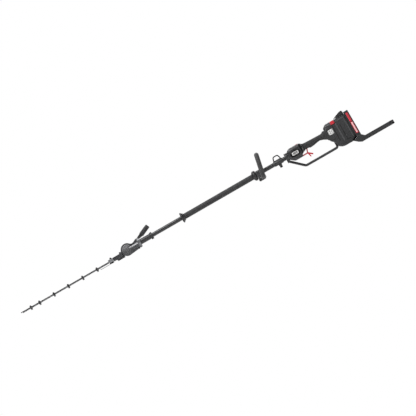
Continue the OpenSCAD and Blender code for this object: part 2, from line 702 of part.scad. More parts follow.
module motor_stator() color("brown") difference() {
    rod_x(motor_x + 24, motor_x + 66, 56);
    rod_x(motor_x + 23, motor_x + 67, 31);
    for (k = [0:8]) translate([0, 0, shaft_z]) rotate([k * 40, 0, 0])
        box([motor_x + 23, -3.4, 10], [motor_x + 67, 3.4, 23]);
}

module motor_rotor() color("silver") {
    rod_x(motor_x + 2.05, motor_x + 88, 10);
    rod_x(motor_x + 25, motor_x + 65, 29.6);
    rod_x(motor_x + 69, motor_x + 72, 24);
    translate([0, 0, shaft_z]) for (k = [0:8]) rotate([k * 40, 0, 0])
        box([motor_x + 69, -0.8, 11], [motor_x + 74.5, 0.8, 27]);
}

// Two bearing carriers that hold the motor in its housing
module motor_mounts() color("gray")
    for (x = [motor_x + 9, motor_x + 76]) difference() {
        rod_x(x, x + 9, x > motor_x + 40 ? 55.9 : 36);
        rod_x(x + (x > motor_x + 40 ? -1 : 1), x + (x > motor_x + 40 ? 8 : 10), 26 + 2 * fit);
        rod_x(x - 2, x + 12, 12);
    }

module power_button() color("red") {
    box([motor_x + 66.5, -6.5, shaft_z + 34.2], [motor_x + 81.5, 6.5, shaft_z + 39.6]);
    box([motor_x + 64.5, -8.5, shaft_z + 31.6], [motor_x + 83.5, 8.5, shaft_z + 34.3]);
}

// ---------------------------------------------------------------- rear grip and trigger

module grip_side(t = 0) offset(delta = -t) polygon([
    [grip_x, shaft_z + 32], [grip_x + 11.6, shaft_z + 23.6], [grip_x + 130, shaft_z + 19.5],
    [grip_x + 138, shaft_z + 22], [grip_x + 145, shaft_z + 27.5], [grip_x + 158, shaft_z + 27.5],
    [grip_x + 158, shaft_z - 29], [grip_x + 146, shaft_z - 26.5], [grip_x + 131, shaft_z - 18],
    [grip_x + 110, shaft_z - 10.7], [grip_x + 64, shaft_z - 18.5], [grip_x + 42, shaft_z - 19.5],
    [grip_x + 36, shaft_z - 15.5], [grip_x + 12, shaft_z - 15.5], [grip_x, shaft_z - 22]]);

module grip_plan(t = 0) offset(delta = -t) polygon([for (s = [-1, 1], p = s < 0 ?
    [[0, -27], [12, -grip_w / 2], [128, -grip_w / 2], [146, -25], [158, -30]] :
    [[158, 30], [146, 25], [128, grip_w / 2], [12, grip_w / 2], [0, 27]]) [grip_x + p[0], p[1]]]);

module grip_solid(t = 0) intersection() {
    translate([0, 60, 0]) rotate([90, 0, 0]) linear_extrude(120) grip_side(t);
    translate([0, 0, shaft_z - 60]) linear_extrude(120) grip_plan(t);
}

module grip_shell() difference() {
    grip_solid();
    grip_solid(wall);
    box([stem_x - 4 - stem_swing, -6, shaft_z - 40], [stem_x + 9, 6, shaft_z]);
    rod_x(grip_x - 5, grip_x + 5, 24);
    rod_x(grip_x + 150, grip_x + 165, 24);
}

module grip_left() color([0.25, 0.25, 0.25]) half(1) grip_shell();

module grip_right() color([0.27, 0.27, 0.27]) half(-1) grip_shell();

// Thin red trigger: pivot arm, stem up into the grip, and two finger tails
module trigger() color("red") difference() {
    trigger_solid();
    rod_y(trigger_pos[0], trigger_pos[2], -9, 9, 3 + 2 * fit);
}

module trigger_solid() {
    half = 5;
    translate([trigger_pos[0], 0, trigger_pos[2]]) {
        side_plate([[0, -3.7], [27.4, -3], [53.9, -22.8], [59.1, -16.2], [32.6, 4.9], [0, 3.7]],
            -half, half);
        side_plate([[26.6, 1], [stem_run - 3.6, 25.5], [stem_run + 3.6, 25.5], [33.8, 0]], -half, half);
        side_plate([[29, -2], [35.4, -27], [41.6, -27], [38, -5]], -half, half);
        rod_y(0, 0, -half, half, 7.4);
    }
}

module trigger_switch() color("gray") box([stem_x - 10, -9, shaft_z + 3], [stem_x + 14, 9, shaft_z + 15]);

// ---------------------------------------------------------------- rear housing and battery bay

rear_x = grip_x + 158.4;

module rear_side(t = 0) offset(delta = -t) polygon([
    [rear_x, shaft_z + 37.5], [rear_x + 21.5, shaft_z + 55], [rear_x + 96, shaft_z + 54],
    [frame_x - 0.1, shaft_z + 54], [frame_x - 0.1, shaft_z - 98.4], [frame_x - 26, shaft_z - 111],
    [rear_x + 68, shaft_z - 111], [rear_x + 50, shaft_z - 107.5], [rear_x + 27.3, shaft_z - 93],
    [rear_x + 27.3, shaft_z - 73], [rear_x + 21.5, shaft_z - 64], [rear_x + 4, shaft_z - 46.5],
    [rear_x, shaft_z - 32]]);

module rear_plan(t = 0) offset(delta = -t) polygon([for (s = [-1, 1], p = s < 0 ?
    [[0, -34], [14, -48], [48, -rear_w / 2]] : [[48, rear_w / 2], [14, 48], [0, 34]],
    q = p == [48, -rear_w / 2] ? [p, [frame_x - 0.1 - rear_x, -rear_w / 2]] :
        p == [48, rear_w / 2] ? [[frame_x - 0.1 - rear_x, rear_w / 2], p] : [p]) [rear_x + q[0], q[1]]]);

module rear_solid(t = 0) intersection() {
    translate([0, 70, 0]) rotate([90, 0, 0]) linear_extrude(140) rear_side(t);
    linear_extrude(300) rear_plan(t);
}

module rear_shell() difference() {
    union() {
        rear_solid();
        for (s = [-1, 1])
            rod_y(rear_x + 32, shaft_z - 4, s > 0 ? 40 : -55, s > 0 ? 55 : -40, 64);
        for (s = [-1, 1], x = [rear_x + 60, rear_x + 90])
            box([x, s * (rear_w / 2) - 2, shaft_z - 88], [x + 5, s * (rear_w / 2) + 2, shaft_z + 40]);
        for (s = [-1, 1]) {
            rod_y(latch_pos[0], latch_pos[2], s * 31 - 2.6, s * 31 + 2.6, 9);
            box([latch_pos[0] - 4.5, s * 31 - 2.6, shaft_z + 50],
                [latch_pos[0] + 4.5, s * 31 + 2.6, latch_pos[2]]);
        }
    }
    rear_solid(wall);
    rod_x(rear_x - 5, rear_x + 10, 24);
    box([rear_x + 52.6, -62, shaft_z + 31.6], [rear_x + 77.1, 62, shaft_z + 70]);
    rod_z(bow_end_x, 0, shaft_z - 97, shaft_z - 58, bow_d + 2 * fit);
    rod_y(latch_pos[0], latch_pos[2], -40, 40, 4 + 2 * fit);
}

module rear_housing_left() color([0.2, 0.2, 0.2]) half(1) rear_shell();

module rear_housing_right() color([0.22, 0.22, 0.22]) half(-1) rear_shell();

// Frame at the back with the bay that the battery slides down into
module battery_frame() color([0.16, 0.16, 0.16]) difference() {
    box([frame_x, -62, shaft_z - 98.8], [frame_end, 62, shaft_z + 64.7]);
    box([frame_x + 8, -44, shaft_z - 80], [frame_end - 7, 44, shaft_z + 70]);
    box([frame_end - 8, -36, shaft_z - 72], [frame_end + 1, 36, shaft_z + 70]);
    for (s = [-1, 1])
        box([frame_x + 8.4, s * 62 - 1.2, shaft_z - 81], [frame_x + 23, s * 62 + 1.2, shaft_z + 52.5]);
}

module terminal_block() color("dimgray") {
    box([frame_x + 8.05, -24, shaft_z - 79.95], [frame_x + 16, 24, shaft_z - 58]);
    for (y = [-16, -8, 8, 16])
        box([frame_x + 10, y - 1.2, shaft_z - 58.1], [frame_x + 14, y + 1.2, shaft_z - 44]);
}

module control_board() color("green") {
    box([frame_x - 30, -46, shaft_z - 80], [frame_x - 26, 46, shaft_z + 30]);
    for (y = [-28, 0, 28]) rod_x(frame_x - 56, frame_x - 29.9, 20, [y, -20]);
}

// Red saddle button across the top and shoulders of the rear housing
module mode_button() color("red") difference() {
    box([rear_x + 53.1, -58.4, shaft_z + 34.6], [rear_x + 76.6, 58.4, shaft_z + 54.6]);
    box([rear_x + 50, -54, shaft_z + 30], [rear_x + 80, 54, shaft_z + 50.5]);
}

// Domed latch on top, hinged at its front edge
module battery_latch() color([0.1, 0.1, 0.1]) difference() {
    side_plate([for (p = [[-9, -1], [-9, 3.5], [8, 11], [28, 18.5], [41, 21.3], [47, 20.5], [51, 12],
        [51, -3.4], [0, -3.4], [-3, -2.4]]) [latch_pos[0] + p[0], latch_pos[2] + p[1]]], -28, 28);
    rod_y(latch_pos[0], latch_pos[2], -40, 40, 4 + 2 * fit);
}

// Red insert strips let into both sides of the battery frame
module side_strips() color("crimson")
    for (s = [-1, 1])
        box([frame_x + 8.8, s * 62 - 1.1, shaft_z - 80.5], [frame_x + 22.6, s * 62 + 1.1, shaft_z + 52]);

// U-shaped guard behind the battery, flat underneath so that the tool can be set down on it
module rear_guard() color([0.2, 0.2, 0.2]) {
    under = shaft_z - 140;
    x0 = frame_x - 28;
    difference() {
        intersection() {
            side_plate([[x0, shaft_z - 111.1], [x0 + 23, under + 9.3], [x0 + 42, under],
                [end_x - 10.5, under],
                [end_x - 10.5, under + 24.9], [frame_end + 17, under + 25.5], [frame_end, shaft_z - 98.9],
                [frame_x + 0.1, shaft_z - 98.9], [frame_x - 26, shaft_z - 111.1]], -62, 62);
            translate([0, 0, -1]) linear_extrude(200) {
                translate([x0 - 5, -62]) square([end_x - 36 - x0 + 5, 124]);
                translate([end_x - 50, -36]) square([50, 72]);
                for (s = [-1, 1]) translate([end_x - 36.5, s * 36]) circle(r = 26);
            }
        }
        box([frame_end + 24, -38, under - 1], [end_x - 38, 38, under + 40]);
    }
}

module guard_pad() color("black")
    box([end_x - 10.45, -36, shaft_z - 139.5], [end_x, 36, shaft_z - 115.6]);

// ---------------------------------------------------------------- assembly

guide_bar();
upper_blade();
lower_blade();
blade_bolts();
bar_block();
blade_shoe();
head_case();
head_cover();
cover_screws();
crank_gear();
bevel_shaft();
hub_bevel();
pivot_pin();
knuckle_case();
case_flange();
ball_bearings();
drive_pinion();
lever_arm();
lever_grip();
hinge_pins();
stub_sleeve();
tube_clamp();
clamp_screws();
shaft_tube();
shaft_bushes();
drive_shaft();
front_collar();
guide_sleeve();
rear_collar();
loop_clamp_top();
loop_clamp_base();
loop_clamp_plate();
loop_screws();
loop_handle();
harness_clamp();
harness_eye();
harness_knob();
nose_collar();
hand_guard();
motor_housing_left();
motor_housing_right();
motor_stator();
motor_rotor();
motor_mounts();
power_button();
grip_left();
grip_right();
trigger();
trigger_switch();
rear_housing_left();
rear_housing_right();
battery_frame();
terminal_block();
control_board();
mode_button();
battery_latch();
side_strips();
rear_guard();
guard_pad();
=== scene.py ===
"""Looks of the long-reach hedge trimmer: finishes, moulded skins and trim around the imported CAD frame."""
import json
import math

import bmesh
import bpy
from mathutils import Matrix, Vector


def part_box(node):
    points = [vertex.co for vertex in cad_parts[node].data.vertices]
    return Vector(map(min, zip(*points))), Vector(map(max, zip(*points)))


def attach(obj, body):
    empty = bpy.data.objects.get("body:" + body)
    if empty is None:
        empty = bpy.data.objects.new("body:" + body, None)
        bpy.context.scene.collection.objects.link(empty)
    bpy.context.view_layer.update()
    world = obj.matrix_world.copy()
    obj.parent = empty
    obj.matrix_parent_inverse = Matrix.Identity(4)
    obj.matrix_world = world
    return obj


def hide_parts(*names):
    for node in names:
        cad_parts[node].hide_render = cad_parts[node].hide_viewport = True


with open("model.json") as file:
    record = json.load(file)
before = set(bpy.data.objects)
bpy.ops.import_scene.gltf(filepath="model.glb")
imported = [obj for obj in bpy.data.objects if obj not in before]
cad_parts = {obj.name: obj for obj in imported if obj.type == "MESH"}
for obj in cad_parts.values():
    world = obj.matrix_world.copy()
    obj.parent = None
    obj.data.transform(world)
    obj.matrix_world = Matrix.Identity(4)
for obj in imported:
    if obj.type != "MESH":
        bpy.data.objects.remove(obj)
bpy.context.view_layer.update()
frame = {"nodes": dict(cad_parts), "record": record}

MM = 0.001
NODES = frame["nodes"]
SLOT_OF = {part["node"]: part["material_slot"] for part in frame["record"]["subparts"]}
BODY_OF = {node: body for body, nodes in frame["record"]["behaviour"]["bodies"].items() for node in nodes}


def span(node):
    """Lowest corner, highest corner and centre of a CAD node."""
    low, high = (Vector(p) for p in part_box(node))
    return low, high, (low + high) / 2


# ---------------------------------------------------------------- materials

NOISE_RANGE = (0.3, 0.7)        # where most values of a noise lie
BLOTCH_RANGE = (0.32, 0.68)     # from the dark to the light tone of a finish
WORN_RANGE = (0.57, 0.68)       # pointiness at which an edge starts to be rubbed, and is fully rubbed
MIX_A, MIX_B, MIX_RESULT = 6, 7, 2     # the colour sockets of a Mix node


def new_material(name):
    """An empty node material with its tree and its main shader."""
    mat = bpy.data.materials.new(name)
    mat.use_nodes = True
    tree = mat.node_tree
    return mat, tree, tree.nodes["Principled BSDF"]


def noise(tree, scale, detail, stretch=(1, 1, 1)):
    """A 3-D noise in the object's own space; stretch squeezes it along an axis."""
    coords = tree.nodes.new("ShaderNodeTexCoord")
    mapping = tree.nodes.new("ShaderNodeMapping")
    mapping.inputs["Scale"].default_value = stretch
    texture = tree.nodes.new("ShaderNodeTexNoise")
    texture.inputs["Scale"].default_value = scale
    texture.inputs["Detail"].default_value = detail
    tree.links.new(coords.outputs["Object"], mapping.inputs["Vector"])
    tree.links.new(mapping.outputs["Vector"], texture.inputs["Vector"])
    return texture.outputs["Fac"]


def remap(tree, value, low, high, source=NOISE_RANGE):
    """Stretches a value from its source range to low and high."""
    node = tree.nodes.new("ShaderNodeMapRange")
    node.inputs["From Min"].default_value = source[0]
    node.inputs["From Max"].default_value = source[1]
    node.inputs["To Min"].default_value = low
    node.inputs["To Max"].default_value = high
    tree.links.new(value, node.inputs["Value"])
    return node.outputs["Result"]


def blotched(tree, value, dark, light):
    """A colour that drifts between two tones."""
    ramp = tree.nodes.new("ShaderNodeValToRGB")
    ramp.color_ramp.elements[0].position = BLOTCH_RANGE[0]
    ramp.color_ramp.elements[1].position = BLOTCH_RANGE[1]
    ramp.color_ramp.elements[0].color = (*dark, 1)
    ramp.color_ramp.elements[1].color = (*light, 1)
    tree.links.new(value, ramp.inputs["Fac"])
    return ramp.outputs["Color"]


def bump(tree, height, strength, distance):
    """A normal that follows a height."""
    node = tree.nodes.new("ShaderNodeBump")
    node.inputs["Strength"].default_value = strength
    node.inputs["Distance"].default_value = distance
    tree.links.new(height, node.inputs["Height"])
    return node.outputs["Normal"]


def worn(tree, colour, edge_colour):
    """Lightens rubbed convex edges."""
    geometry = tree.nodes.new("ShaderNodeNewGeometry")
    edge = tree.nodes.new("ShaderNodeValToRGB")
    edge.color_ramp.elements[0].position = WORN_RANGE[0]
    edge.color_ramp.elements[1].position = WORN_RANGE[1]
    mix = tree.nodes.new("ShaderNodeMix")
    mix.data_type = "RGBA"
    tree.links.new(geometry.outputs["Pointiness"], edge.inputs["Fac"])
    tree.links.new(edge.outputs["Color"], mix.inputs["Factor"])
    tree.links.new(colour, mix.inputs[MIX_A])
    mix.inputs[MIX_B].default_value = (*edge_colour, 1)
    return mix.outputs[MIX_RESULT]


def plastic(name, colour, rough=0.5, grain=900, depth=0.00012, coat=0.0, shine=0.5):
    """Moulded plastic: spark-eroded grain, faint colour drift and handled edges."""
    mat, tree, shader = new_material(name)
    dark = [c * 0.84 for c in colour]
    light = [c * 1.18 for c in colour]
    base = blotched(tree, noise(tree, 14, 6), dark, light)
    edge = [min(1, c * 1.6 + 0.012) for c in colour]
    tree.links.new(worn(tree, base, edge), shader.inputs["Base Color"])
    polish = remap(tree, noise(tree, 45, 5), rough - 0.07, rough + 0.09)
    tree.links.new(polish, shader.inputs["Roughness"])
    tree.links.new(bump(tree, noise(tree, grain, 2), 0.35, depth), shader.inputs["Normal"])
    shader.inputs["Specular IOR Level"].default_value = shine
    shader.inputs["Coat Weight"].default_value = coat
    shader.inputs["Coat Roughness"].default_value = 0.22
    return mat


def rubber(name, colour):
    """Soft over-mould: matt, with a pebbled skin."""
    mat, tree, shader = new_material(name)
    base = blotched(tree, noise(tree, 26, 8), [c * 0.8 for c in colour], [c * 1.35 + 0.004 for c in colour])
    tree.links.new(base, shader.inputs["Base Color"])
    tree.links.new(remap(tree, noise(tree, 60, 5), 0.62, 0.8), shader.inputs["Roughness"])
    tree.links.new(bump(tree, noise(tree, 620, 3), 0.5, 0.0002), shader.inputs["Normal"])
    shader.inputs["Sheen Weight"].default_value = 0.12
    return mat


def metal(name, colour, rough=0.34, stretch=(1, 1, 1), grain=420, depth=0.00006):
    """Metal with a grain that a stretch turns into brushing, and faint staining."""
    mat, tree, shader = new_material(name)
    base = blotched(tree, noise(tree, 11, 8), [c * 0.78 for c in colour], [c * 1.14 for c in colour])
    tree.links.new(worn(tree, base, [min(1, c * 1.35 + 0.04) for c in colour]), shader.inputs["Base Color"])
    shader.inputs["Metallic"].default_value = 0.9
    lines = noise(tree, grain, 3, stretch)
    tree.links.new(remap(tree, lines, rough - 0.08, rough + 0.12), shader.inputs["Roughness"])
    tree.links.new(bump(tree, lines, 0.3, depth), shader.inputs["Normal"])
    return mat


ALONG = (0.04, 1, 1)
MATERIALS = {
    "blade_steel": metal("blade_steel", (0.09, 0.09, 0.094), 0.38, ALONG),
    "bar_steel": metal("bar_steel", (0.05, 0.05, 0.052), 0.44, ALONG),
    "fastener_steel": metal("fastener_steel", (0.13, 0.13, 0.135), 0.38),
    "cast_grey": metal("cast_grey", (0.07, 0.071, 0.074), 0.5, grain=700, depth=0.00015),
    "flange_light": metal("flange_light", (0.2, 0.203, 0.21), 0.4, grain=300),
    "gear_steel": metal("gear_steel", (0.4, 0.4, 0.4), 0.3),
    "tube_black": plastic("tube_black", (0.008, 0.008, 0.009), 0.36, 1500, 0.00004),
    "black_plastic": plastic("black_plastic", (0.014, 0.014, 0.015), 0.46),
    "grey_plastic": plastic("grey_plastic", (0.019, 0.0195, 0.021), 0.42),
    "soft_black": rubber("soft_black", (0.015, 0.015, 0.016)),
    "red_plastic": plastic("red_plastic", (0.58, 0.008, 0.024), 0.4, 1300, 0.00005, 0.2),
    "bush_plastic": plastic("bush_plastic", (0.7, 0.7, 0.66), 0.5),
    "copper_steel": metal("copper_steel", (0.45, 0.24, 0.14), 0.4, (1, 0.1, 1)),
    "board_green": plastic("board_green", (0.02, 0.12, 0.05), 0.35),
}
STRIPE_RED = plastic("stripe_red", (0.46, 0.02, 0.035), 0.42, 1300, 0.00005)
LABEL_WHITE = plastic("label_white", (0.6, 0.6, 0.59), 0.38, 1800, 0.00003, 0.2)
# Near-black for dark trim, print, seams and bolts, and as painted shade in the rear housing's grooves and
# slot and in the button's well.
TRIM_AND_SHADE_BLACK = plastic("trim_and_shade_black", (0.004, 0.004, 0.004), 0.7, shine=0.15)
STRIPE_PALE = plastic("stripe_pale", (0.9, 0.52, 0.53), 0.4, 1300, 0.00005)
# Painted highlight: a lighter grey for the rear housing's raised ridges, standing in for the light they
# catch.
RIDGE_HIGHLIGHT = plastic("ridge_highlight", (0.06, 0.061, 0.064), 0.4)
FOAM_GREY = rubber("foam_grey", (0.034, 0.034, 0.035))
CAST_LIGHT = plastic("cast_light", (0.18, 0.181, 0.187), 0.42, 500)
# Painted highlight: a light grey that stands in for the glint along the knuckle case's rib.
RIB_HIGHLIGHT = plastic("rib_highlight", (0.42, 0.42, 0.43), 0.4, 300)


def painted_shade_below(mat, height, blend, share):
    """Multiplies a finish by share below a height: painted shade, darker towards the bottom as if lit from
    above.
    """
    tree = mat.node_tree
    shader = tree.nodes["Principled BSDF"]
    colour = shader.inputs["Base Color"].links[0].from_socket
    coords = tree.nodes.new("ShaderNodeTexCoord")
    axes = tree.nodes.new("ShaderNodeSeparateXYZ")
    tree.links.new(coords.outputs["Object"], axes.inputs["Vector"])
    tone = remap(tree, axes.outputs["Z"], share, 1.0, (height - blend, height + blend))
    mix = tree.nodes.new("ShaderNodeMix")
    mix.data_type = "RGBA"
    mix.blend_type = "MULTIPLY"
    mix.inputs["Factor"].default_value = 1.0
    tree.links.new(colour, mix.inputs[MIX_A])
    tree.links.new(tone, mix.inputs[MIX_B])
    tree.links.new(mix.outputs[MIX_RESULT], shader.inputs["Base Color"])


# Painted shade: the hub caps' light-grey cast finish turns darker below the pivot.
painted_shade_below(CAST_LIGHT, span("pivot_pin")[2].z + 6 * MM, 10 * MM, 0.4)

for node, cad in NODES.items():
    cad.data.materials.clear()
    cad.data.materials.append(MATERIALS[SLOT_OF[node]])


# ---------------------------------------------------------------- piece tools

WELD = 5e-6                     # corners closer than this are one
FLAT_DEGREES = 0.8              # faces that differ by less are one flat face
SPLIT_GAP = 0.15 * MM           # each half of a split housing stays this far off the middle plane


def linked(bm, name):
    """Turns a bmesh into an object in the scene and frees it."""
    mesh = bpy.data.meshes.new(name)
    bm.to_mesh(mesh)
    bm.free()
    obj = bpy.data.objects.new(name, mesh)
    bpy.context.scene.collection.objects.link(obj)
    return obj


def add_piece(bm, name, body, mat, smooth=38):
    """Turns a bmesh into a finished piece that rides on a body."""
    bmesh.ops.recalc_face_normals(bm, faces=bm.faces)
    piece = linked(bm, name)
    for face in piece.data.polygons:
        face.use_smooth = True
    piece.data.set_sharp_from_angle(angle=math.radians(smooth))
    piece.data.materials.append(mat)
    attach(piece, body)
    return piece


def cut_away(bm, boxes):
    """Takes boxes, given by two corners, out of a closed bmesh."""
    solid = linked(bm, "solid")
    cutters = []
    for low, high in boxes:
        tool = bmesh.new()
        centre = [(a + b) / 2 for a, b in zip(low, high)]
        size = [b - a for a, b in zip(low, high)]
        place = Matrix.Translation(centre) @ Matrix.Diagonal((*size, 1))
        bmesh.ops.create_cube(tool, size=1, matrix=place)
        cutter = linked(tool, "cutter")
        cutters.append(cutter)
        boolean = solid.modifiers.new("cut", "BOOLEAN")
        boolean.object = cutter
        boolean.operation = "DIFFERENCE"
    return evaluated(solid, cutters)


def evaluated(solid, helpers=()):
    """The bmesh of an object with its modifiers applied; the object and its helpers are removed."""
    graph = bpy.context.evaluated_depsgraph_get()
    result = bmesh.new()
    result.from_mesh(solid.evaluated_get(graph).to_mesh())
    for obj in (solid, *helpers):
        mesh = obj.data
        bpy.data.objects.remove(obj)
        bpy.data.meshes.remove(mesh)
    return result


def rounded(bm, width, segments=3, angle=32):
    """Rounds every edge sharper than angle degrees."""
    blank = linked(bm, "blank")
    bevel = blank.modifiers.new("round", "BEVEL")
    bevel.width = width
    bevel.segments = segments
    bevel.limit_method = "ANGLE"
    bevel.angle_limit = math.radians(angle)
    bevel.use_clamp_overlap = True
    return evaluated(blank)


def copied(node):
    """A welded copy of a CAD node's mesh with its flat faces whole."""
    bm = bmesh.new()
    bm.from_mesh(NODES[node].data)
    bmesh.ops.remove_doubles(bm, verts=bm.verts, dist=WELD)
    bmesh.ops.dissolve_limit(bm, angle_limit=math.radians(FLAT_DEGREES), verts=bm.verts, edges=bm.edges)
    return bm


def softened(node, width, mat=None):
    """The CAD node's own shape with moulded or machined edges in place of its sharp ones."""
    slot = SLOT_OF[node]
    bm = rounded(copied(node), width)
    piece = add_piece(bm, node + "_finished", BODY_OF[node], mat or MATERIALS[slot])
    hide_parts(node)


def rod(bm, start, end, radius, sides, end_radius=None):
    """A closed round bar between two points, which can taper to end_radius."""
    start, end = Vector(start), Vector(end)
    axis = end - start
    turn = axis.to_track_quat("Z", "Y").to_matrix().to_4x4()
    place = Matrix.Translation((start + end) / 2) @ turn
    if end_radius is None:
        end_radius = radius
    bmesh.ops.create_cone(bm, cap_ends=True, segments=sides, radius1=radius, radius2=end_radius,
                          depth=axis.length, matrix=place)


def plate_xz(bm, outline, y0, y1):
    """A side-view outline of (x, z) points given a thickness along Y."""
    near = [bm.verts.new((x, y0, z)) for x, z in outline]
    far = [bm.verts.new((x, y1, z)) for x, z in outline]
    bm.faces.new(near)
    bm.faces.new(list(reversed(far)))
    for i in range(len(outline)):
        j = (i + 1) % len(outline)
        bm.faces.new((near[j], near[i], far[i], far[j]))


def rectangle(x0, x1, z0, z1):
    """Corners of an upright rectangle in the side view."""
    return [(x0, z0), (x1, z0), (x1, z1), (x0, z1)]


def side_slab(bm, side, outline, inner, outer):
    """A side-view outline made solid on one side, from inner to outer mm off the middle plane."""
    y0, y1 = sorted((side * inner * MM, side * outer * MM))
    plate_xz(bm, outline, y0, y1)


def oval(x, z, half_x, half_z, power=2.6, count=48):
    """Points of a rounded outline in the side view."""
    points = []
    for k in range(count):
        a = 2 * math.pi * k / count
        c, s = math.cos(a), math.sin(a)
        points.append((x + half_x * math.copysign(abs(c) ** (2 / power), c),
                       z + half_z * math.copysign(abs(s) ** (2 / power), s)))
    return points


def at(outline, x):
    """Height of a list of (x, value) points at x."""
    for (xa, a), (xb, b) in zip(outline, outline[1:]):
        if x <= xb:
            return a + (b - a) * (max(x, xa) - xa) / (xb - xa)
    return outline[-1][1]


def lofted_half(side, top, bottom, width, power, steps=18):
    """Half a moulded shell, split at the middle plane: round sections strung along X."""
    stations = sorted({x for line in (top, bottom, width) for x, _ in line})
    bm = bmesh.new()
    rings = []
    for x in stations:
        z0, z1, w = at(bottom, x), at(top, x), at(width, x)
        ring = []
        for k in range(steps + 1):
            a = math.pi * (k / steps - 0.5)
            c, s = max(0.0, math.cos(a)), math.sin(a)
            y = side * (SPLIT_GAP + w * c ** (2 / power))
            z = (z0 + z1) / 2 + (z1 - z0) / 2 * math.copysign(abs(s) ** (2 / power), s)
            ring.append(bm.verts.new((x, y, z)))
        rings.append(ring)
    for a, b in zip(rings, rings[1:]):
        for k in range(steps + 1):
            m = (k + 1) % (steps + 1)
            bm.faces.new((a[k], a[m], b[m], b[k]))
    bm.faces.new(rings[0])
    bm.faces.new(list(reversed(rings[-1])))
    bmesh.ops.recalc_face_normals(bm, faces=bm.faces)
    return bm


def moved(x0, z0, points):
    """Points given in millimetres from a place, in metres."""
    return [(x0 + x * MM, z0 + z * MM) for x, z in points]


def along(x0, points):
    """Widths given in millimetres at distances from a place, in metres."""
    return [(x0 + x * MM, v * MM) for x, v in points]


# ---------------------------------------------------------------- places taken from the frame

SHAFT_Z = span("shaft_tube")[2].z
MOTOR_X = span("motor_housing_left")[0].x
GRIP_X = span("grip_left")[0].x
REAR_X = span("rear_housing_left")[0].x
PIVOT = span("pivot_pin")[2]
MOTOR_WALL = 38                 # mm from the middle plane to the flat side of the motor housing
REAR_WALL = 58                  # and of the rear housing
CHEEK = 28                      # and to the flat cheek of the tilt joint


def shell_pair(stem, top, bottom, width, power, cuts, slot, round_to):
    """Left and right skins of a split housing in place of their CAD nodes, with the cuts taken out."""
    for side, hand in ((1, "left"), (-1, "right")):
        bm = lofted_half(side, top, bottom, width, power)
        bm = rounded(bm, round_to, 3, 24)
        bm = cut_away(bm, cuts)
        piece = add_piece(bm, f"{stem}_{hand}_shell", "shaft", MATERIALS[slot], 44)
        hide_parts(f"{stem}_{hand}")


def pocket(node, room, up, down):
    """The two corners of the room that a moving node needs."""
    low, high, _ = span(node)
    return ((low.x - room, low.y - room, low.z - down), (high.x + room, high.y + room, high.z + up))


def motor_housing():
    """Bulbous housing in front of the grip, open for the power button and the trigger."""
    top = moved(MOTOR_X, SHAFT_Z, [(0, 21), (5, 26), (14.5, 34.5), (26, 38.5), (50, 38.5), (84, 37.8),
                                   (95.5, 33)])
    bottom = moved(MOTOR_X, SHAFT_Z, [(0, -21), (11.6, -32), (20, -38), (29, -43), (75.5, -43), (82, -29),
                                      (95.5, -20)])
    width = along(MOTOR_X, [(0, 24.5), (7, 30), (16, 35), (30, MOTOR_WALL), (80, MOTOR_WALL), (88, 33),
                            (95.5, 26)])
    low = span("trigger")[0]
    button = pocket("power_button", 0.4 * MM, 10 * MM, 2 * MM)
    trigger_slot = ((low.x - 3 * MM, -5.5 * MM, low.z), (MOTOR_X + 100 * MM, 5.5 * MM, SHAFT_Z - 24 * MM))
    shell_pair("motor_housing", top, bottom, width, 3.6, [button, trigger_slot], "grey_plastic", 2.2 * MM)


def rear_grip():
    """Waisted grip, open below for the trigger."""
    top = moved(GRIP_X, SHAFT_Z, [(0, 32), (5, 28), (11.6, 24.2), (30, 22.5), (70, 21), (130, 19.5),
                                  (138, 22), (145, 27.5), (158, 27.5)])
    bottom = moved(GRIP_X, SHAFT_Z, [(0, -22), (12, -15.8), (36, -15.8), (42, -19.5), (64, -18.5),
                                     (90, -13.5), (110, -11), (131, -18), (146, -26.5), (158, -29)])
    width = along(GRIP_X, [(0, 27), (6, 21), (12, 17), (40, 16.4), (80, 17), (120, 17), (132, 19),
                           (146, 25), (158, 30)])
    low, high, _ = span("trigger")
    slot = ((high.x - 34 * MM, -6 * MM, low.z), (high.x - 10 * MM, 6 * MM, SHAFT_Z - 3 * MM))
    shell_pair("grip", top, bottom, width, 2.5, [slot], "soft_black", 2.0 * MM)


def rear_housing():
    """Deep housing under the battery bay, open for the mode button."""
    top = moved(REAR_X, SHAFT_Z, [(0, 37.5), (8, 45.5), (21.5, 55), (60, 54.8), (96, 54.4), (149, 54.4)])
    bottom = moved(REAR_X, SHAFT_Z, [(0, -32), (4, -46.5), (21.5, -64), (27.2, -72), (27.6, -92), (36, -99),
                                     (50, -107.5), (68, -111), (123, -111), (149, -98.4)])
    width = along(REAR_X, [(0, 34), (6, 42), (14, 48), (30, 54), (48, REAR_WALL), (149, REAR_WALL)])
    button = pocket("mode_button", 0.5 * MM, 12 * MM, 3 * MM)
    shell_pair("rear_housing", top, bottom, width, 5.5, [button], "grey_plastic", 3.0 * MM)


motor_housing()
rear_grip()
rear_housing()

EDGES_MM = {
    "bar_block": 0.8, "head_case": 0.9, "head_cover": 0.8, "knuckle_case": 1.4, "case_flange": 0.8,
    "tube_clamp": 1.0, "stub_sleeve": 0.8, "loop_clamp_top": 1.6, "loop_clamp_base": 1.6,
    "loop_clamp_plate": 1.6, "harness_clamp": 1.0, "harness_knob": 0.6, "nose_collar": 1.5,
    "battery_frame": 2.2, "battery_latch": 2.0, "rear_guard": 2.6, "guard_pad": 1.8, "trigger": 0.7,
    "power_button": 0.8, "mode_button": 0.8, "lever_arm": 0.8, "terminal_block": 0.6, "blade_shoe": 0.4,
    "lever_grip": 0.6, "front_collar": 0.5, "rear_collar": 0.5, "guide_sleeve": 0.35, "side_strips": 0.4,
}
OWN_FINISH = {"side_strips": STRIPE_RED, "lever_arm": MATERIALS["black_plastic"],
              "blade_shoe": MATERIALS["bar_steel"]}
for node, edge in EDGES_MM.items():
    softened(node, edge * MM, OWN_FINISH.get(node))


